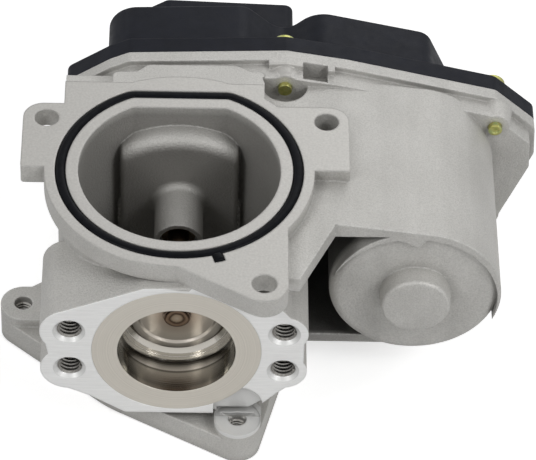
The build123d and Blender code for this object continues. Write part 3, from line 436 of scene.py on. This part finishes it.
# Threads of the housing: four M8 holes in the port face and three M6 ears, cut with a tap, so their
# crests stand a little inside the core holes of the casting.
def thread(name, place, along_y, wall_r, crest, pitch, turns, material):
    """Helical ridge with its flanks, wound inward from wall_r, from place along +Z or +Y."""
    bpy.ops.object.select_all(action="DESELECT")
    bpy.ops.mesh.primitive_circle_add(
        vertices=3, radius=crest * 0.75, location=(wall_r - crest * 0.3, 0, 0),
        rotation=(math.radians(90), 0, 0),
    )
    piece = bpy.context.object
    piece.name = name
    bpy.ops.object.mode_set(mode="EDIT")
    bpy.ops.mesh.select_all(action="SELECT")
    bpy.ops.transform.rotate(
        value=math.radians(90), orient_axis="Y", center_override=(wall_r - crest * 0.3, 0, 0),
    )
    bpy.ops.object.mode_set(mode="OBJECT")
    bpy.ops.object.transform_apply(location=True, rotation=True, scale=True)
    bpy.ops.object.modifier_add(type="SCREW")
    screw = piece.modifiers[-1]
    screw.axis = "Z"
    screw.angle = math.radians(360)
    screw.screw_offset = pitch
    screw.iterations = turns
    screw.steps = 28
    screw.render_steps = 28
    bpy.ops.object.modifier_apply(modifier=screw.name)
    bpy.ops.object.mode_set(mode="EDIT")
    bpy.ops.mesh.select_all(action="SELECT")
    bpy.ops.mesh.normals_make_consistent(inside=False)
    bpy.ops.object.mode_set(mode="OBJECT")
    if along_y:
        piece.rotation_euler = (math.radians(-90), 0, 0)
    piece.location = place
    bpy.ops.object.transform_apply(location=True, rotation=True, scale=True)
    bpy.ops.object.shade_smooth_by_angle(angle=math.radians(35))
    piece.data.materials.append(material)
    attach(piece, "root")
    return piece


# The threads are coloured dark grey: painted shade of the deep holes, on threads cut in the aluminium.
thread_material, tree, shader = finish_of("cut_thread_painted_shade", (0.3, 0.29, 0.27), 0.22, 1.0)
mottle(tree, shader, grain(tree, 0.6 * mm, 2), (0.2, 0.19, 0.175), (0.36, 0.35, 0.33))
for side, column in ((-1, "left"), (1, "right")):
    for row, level in ((1, "upper"), (-1, "lower")):
        hole_start = (side * port_hole_x, port_y + 1.2 * mm, stem_z + row * port_hole_rise)
        thread(
            f"port_thread_{column}_{level}", hole_start, True,
            3.25 * mm, 0.55 * mm, 1.25 * mm, 9, thread_material,
        )
ears = {"left": (-42.65 * mm, 2.1 * mm, 8), "front": (*front_ear, 7), "back": (24.3 * mm, 35.6 * mm, 8)}
for corner, (x, y, turns) in ears.items():
    thread(
        f"ear_thread_{corner}", (x, y, 0.8 * mm), False,
        2.5 * mm, 0.45 * mm, 1.0 * mm, turns, thread_material,
    )


# Port seal: a moulded rubber ring in the D-shaped groove, black and slightly waxy. The stem's gas seal
# and the cover's gasket are of the same rubber.
def give(node, material):
    """Puts a material on a node's own mesh."""
    nodes[node].data.materials.clear()
    nodes[node].data.materials.append(material)


rubber_material, tree, shader = finish_of("moulded_rubber", (0.004, 0.0045, 0.006), 0.3)
shader.inputs["Specular IOR Level"].default_value = 0.05
tree.links.new(ease(tree, grain(tree, 4 * mm, 3), 0.3, 0.7, 0.24, 0.42), shader.inputs["Roughness"])
mottle(tree, shader, grain(tree, 1.5 * mm, 3), (0.003, 0.0035, 0.0045), (0.007, 0.0075, 0.01))
relief(tree, shader, grain(tree, 0.5 * mm, 2), 0.02 * mm, 0.5 * mm)
dressed_copy("seal_ring", "port_seal", "root", rubber_material, 50)
for name in ("stem_seal", "cover_gasket"):
    give(name, rubber_material)

# Locating lug of the port seal: a soft rounded nub, moulded in one with the ring, that shows which way
# round the ring goes in.
lug_turn = math.radians(-72)
lug_r = 34.15 * mm
lug_place = (lug_r * math.cos(lug_turn), lug_r * math.sin(lug_turn), top_z - 0.45 * mm)
bpy.ops.object.select_all(action="DESELECT")
bpy.ops.mesh.primitive_cube_add(
    size=1, location=lug_place, rotation=(0, 0, lug_turn), scale=(3.2 * mm, 2.7 * mm, 2.0 * mm),
)
lug = bpy.context.object
lug.name = "seal_lug"
bpy.ops.object.transform_apply(location=True, rotation=True, scale=True)
bpy.ops.object.modifier_add(type="BEVEL")
lug.modifiers[-1].width = 0.85 * mm
lug.modifiers[-1].segments = 4
bpy.ops.object.modifier_apply(modifier=lug.modifiers[-1].name)
bpy.ops.object.shade_smooth_by_angle(angle=math.radians(60))
lug.data.materials.append(rubber_material)
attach(lug, "root")

# Seat insert: turned stainless ring, satin on its face, with fine turning rings and a bore polished
# in steps down to the valve seat.
insert_material, tree, shader = finish_of("turned_stainless", (0.38, 0.35, 0.3), 0.3, 1.0)
from_axis = radius_from(tree, (0, 0, stem_z), (1, 0, 1))
on_face = ease(tree, along(tree, "Y"), port_y + 0.25 * mm, port_y + 0.1 * mm)
rings = tree.nodes.new("ShaderNodeTexNoise")
rings.noise_dimensions = "1D"
rings.inputs["Scale"].default_value = 1 / (0.35 * mm)
rings.inputs["Detail"].default_value = 2
tree.links.new(calc(tree, from_axis, along(tree, "Y")), rings.inputs["W"])
face_color = shades(tree, rings.outputs["Fac"], [(0.3, (0.68, 0.645, 0.58)), (0.7, (0.76, 0.72, 0.65))])
# The bore's light and dark bands along its depth are painted reflections and painted shade of its polished
# steps.
bore_painted_light = shades(
    tree, ease(tree, along(tree, "Y"), port_y, -22 * mm),
    [
        (0, (0.5, 0.49, 0.46)), (0.12, (0.24, 0.235, 0.22)), (0.4, (0.4, 0.39, 0.36)),
        (0.44, (0.1, 0.095, 0.085)), (0.47, (0.62, 0.61, 0.58)), (0.6, (0.2, 0.19, 0.17)),
        (0.64, (0.07, 0.065, 0.06)), (0.68, (0.6, 0.58, 0.54)), (1, (0.3, 0.27, 0.22)),
    ],
)
tree.links.new(blend_colors(tree, on_face, bore_painted_light, face_color), shader.inputs["Base Color"])
tree.links.new(ease(tree, on_face, 0, 1, 0.12, 0.42), shader.inputs["Roughness"])
relief(tree, shader, rings.outputs["Fac"], 0.025 * mm, 0.25 * mm)
dressed_copy("seat_ring", "seat_insert", "root", insert_material, 30)

# Valve: a heat-resistant steel disc on its stem. Welding and hot gas have left brown and blue rings.
valve_material, tree, shader = finish_of("heat_tinted_steel", (0.3, 0.27, 0.24), 0.3, 1.0)
from_axis = radius_from(tree, (0, 0, stem_z), (1, 0, 1))
disc_r = 14 * mm
smoke = ease(tree, grain(tree, 3 * mm, 3), 0, 1, -0.04, 0.04)
tint = shades(
    tree, calc(tree, ease(tree, from_axis, 0, disc_r), smoke),
    [
        (0.0, (0.4, 0.33, 0.26)), (0.09, (0.3, 0.23, 0.16)), (0.13, (0.05, 0.03, 0.02)),
        (0.18, (0.22, 0.15, 0.1)), (0.23, (0.07, 0.045, 0.03)), (0.3, (0.36, 0.29, 0.23)),
        (0.55, (0.48, 0.43, 0.37)), (0.8, (0.4, 0.37, 0.33)), (0.95, (0.16, 0.15, 0.14)),
    ],
)
tree.links.new(tint, shader.inputs["Base Color"])
relief(tree, shader, grain(tree, 0.4 * mm, 2, (1, 0.1, 1)), 0.02 * mm, 0.3 * mm)
dressed_copy("valve_plate", "valve_disc", "valve", valve_material, 40)
dressed_copy("stem_rod", "valve_stem", "valve", valve_material, 40)

# Gear cover: moulded black plastic with two domes and the connector's shroud. The tool was finely
# textured, and the long edges catch the light.
cover_material, tree, shader = finish_of("moulded_black", (0.012, 0.014, 0.021), 0.4)
shader.inputs["Specular IOR Level"].default_value = 0.1
mottle(tree, shader, grain(tree, 6 * mm, 3), (0.006, 0.007, 0.0115), (0.0095, 0.011, 0.0175))
tree.links.new(ease(tree, grain(tree, 2.5 * mm, 3), 0.3, 0.7, 0.36, 0.48), shader.inputs["Roughness"])
relief(tree, shader, grain(tree, 0.35 * mm, 2), 0.035 * mm, 0.6 * mm)
dressed_copy("cover_shell", "gear_cover", "root", cover_material)
give("motor_brush_card", cover_material)

# Cover screws: steel with yellow zinc. Each tip shows in front of the case, rolled to a small pit,
# with the last turn of its thread.
zinc_material, tree, shader = finish_of("yellow_zinc", (0.42, 0.43, 0.14), 0.34, 0.85)
tree.links.new(
    shades(
        tree, grain(tree, 1.6 * mm, 3),
        [(0.3, (0.32, 0.36, 0.09)), (0.5, (0.5, 0.47, 0.16)), (0.7, (0.42, 0.5, 0.22))],
    ),
    shader.inputs["Base Color"],
)
relief(tree, shader, grain(tree, 0.3 * mm, 2), 0.02 * mm, 0.25 * mm)
dressed_copy("screw_set", "cover_screws", "root", zinc_material, 40)
give("motor_screws", zinc_material)
tip_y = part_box("cover_screws")[0].y
tips = {"upper": (28.5 * mm, 61.5 * mm), "right": (87.2 * mm, 47.8 * mm)}
for place, (x, z) in tips.items():
    bpy.ops.object.select_all(action="DESELECT")
    bpy.ops.mesh.primitive_cylinder_add(
        vertices=36, radius=1.86 * mm, depth=0.5 * mm, location=(x, tip_y + 0.3 * mm, z),
        rotation=(math.radians(90), 0, 0),
    )
    tip = bpy.context.object
    tip.name = f"screw_tip_{place}"
    bpy.ops.object.transform_apply(location=True, rotation=True, scale=True)
    for face in tip.data.polygons:
        face.select = face.normal.y < -0.9
    bpy.ops.object.mode_set(mode="EDIT")
    bpy.ops.mesh.select_mode(type="FACE")
    bpy.ops.mesh.inset(thickness=0.35 * mm, depth=0.18 * mm)
    bpy.ops.mesh.inset(thickness=0.55 * mm, depth=0)
    bpy.ops.mesh.inset(thickness=0.2 * mm, depth=-0.35 * mm)
    bpy.ops.object.mode_set(mode="OBJECT")
    bpy.ops.object.shade_smooth_by_angle(angle=math.radians(25))
    tip.data.materials.append(zinc_material)
    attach(tip, "root")

# Gear train: two moulded gears of natural plastic on ground pins, the sector with its cam sleeve,
# and the position sensor's magnet and board.
gear_material, tree, shader = finish_of("natural_plastic", (0.72, 0.7, 0.62), 0.45)
mottle(tree, shader, grain(tree, 5 * mm, 3), (0.68, 0.66, 0.57), (0.77, 0.75, 0.68))
relief(tree, shader, grain(tree, 0.4 * mm, 2), 0.015 * mm, 0.2 * mm)
ground_material, tree, shader = finish_of("ground_steel", (0.56, 0.56, 0.55), 0.22, 1.0)
ground_lines = grain(tree, 0.3 * mm, 2, (1, 0.08, 1))
tree.links.new(ease(tree, ground_lines, 0.3, 0.7, 0.16, 0.32), shader.inputs["Roughness"])
mottle(tree, shader, grain(tree, 1.2 * mm, 2, (1, 0.1, 1)), (0.5, 0.5, 0.49), (0.6, 0.6, 0.59))
spring_material, tree, shader = finish_of("oiled_spring_wire", (0.26, 0.26, 0.27), 0.3, 1.0)
mottle(tree, shader, grain(tree, 1.0 * mm, 3), (0.2, 0.2, 0.21), (0.32, 0.31, 0.3))
magnet_material, tree, shader = finish_of("sintered_magnet", (0.05, 0.05, 0.055), 0.55, 0.2)
mottle(tree, shader, grain(tree, 0.5 * mm, 4), (0.035, 0.035, 0.04), (0.075, 0.075, 0.08))
relief(tree, shader, grain(tree, 0.3 * mm, 3), 0.03 * mm)
board_material, tree, shader = finish_of("coated_board", (0.02, 0.12, 0.06), 0.35)
tracks = tree.nodes.new("ShaderNodeTexBrick")
track_place = tree.nodes.new("ShaderNodeTexCoord")
track_turn = tree.nodes.new("ShaderNodeMapping")
track_turn.inputs["Rotation"].default_value = (math.radians(90), 0, 0)
tree.links.new(track_place.outputs["Object"], track_turn.inputs["Vector"])
tree.links.new(track_turn.outputs["Vector"], tracks.inputs["Vector"])
tracks.inputs["Scale"].default_value = 1 / (6 * mm)
tracks.inputs["Mortar Size"].default_value = 0.04
tracks.inputs["Color1"].default_value = (0.015, 0.11, 0.05, 1)
tracks.inputs["Color2"].default_value = (0.02, 0.13, 0.06, 1)
tracks.inputs["Mortar"].default_value = (0.05, 0.22, 0.09, 1)
tree.links.new(tracks.outputs["Color"], shader.inputs["Base Color"])

# Motor: a drawn steel can with two magnet arcs, a rotor with a copper commutator, carbon brushes on
# their card, sintered bronze bearings and a steel end plate. The blades of the connector are tinned.
drawn_material, tree, shader = finish_of("drawn_steel", (0.48, 0.48, 0.49), 0.32, 1.0)
draw_lines = grain(tree, 0.8 * mm, 3, (1, 0.05, 1))
tree.links.new(ease(tree, draw_lines, 0.3, 0.7, 0.24, 0.42), shader.inputs["Roughness"])
mottle(tree, shader, grain(tree, 3 * mm, 3, (1, 0.15, 1)), (0.42, 0.42, 0.43), (0.54, 0.54, 0.54))
copper_material, tree, shader = finish_of("turned_copper", (0.6, 0.3, 0.15), 0.3, 1.0)
mottle(tree, shader, grain(tree, 1.0 * mm, 3, (1, 0.1, 1)), (0.45, 0.2, 0.09), (0.68, 0.36, 0.2))
bronze_material, tree, shader = finish_of("sintered_bronze", (0.2, 0.16, 0.11), 0.45, 0.8)
mottle(tree, shader, grain(tree, 0.3 * mm, 3), (0.13, 0.1, 0.065), (0.26, 0.21, 0.15))
relief(tree, shader, grain(tree, 0.25 * mm, 3), 0.02 * mm)
carbon_material, tree, shader = finish_of("pressed_carbon", (0.03, 0.03, 0.03), 0.6)
mottle(tree, shader, grain(tree, 0.4 * mm, 3), (0.02, 0.02, 0.02), (0.05, 0.05, 0.05))
tinned_material, tree, shader = finish_of("tinned_bronze", (0.62, 0.6, 0.55), 0.3, 1.0)
mottle(tree, shader, grain(tree, 1.0 * mm, 3), (0.54, 0.52, 0.46), (0.7, 0.68, 0.63))
inner_finishes = {
    "output_gear": gear_material, "intermediate_gear": gear_material,
    "cross_pin": ground_material, "cam_rollers": ground_material, "cam_guide": ground_material,
    "intermediate_shaft": ground_material, "motor_shaft": ground_material, "motor_pinion": ground_material,
    "retaining_ring": spring_material, "return_spring": spring_material, "wave_spring": spring_material,
    "sensor_magnet": magnet_material, "motor_magnets": magnet_material, "sensor_board": board_material,
    "motor_can": drawn_material, "motor_armature": drawn_material, "motor_end_plate": drawn_material,
    "motor_commutator": copper_material, "motor_brushes": carbon_material,
    "motor_bearings": bronze_material, "stem_bush": bronze_material, "connector_pins": tinned_material,
}
for name, material in inner_finishes.items():
    give(name, material)
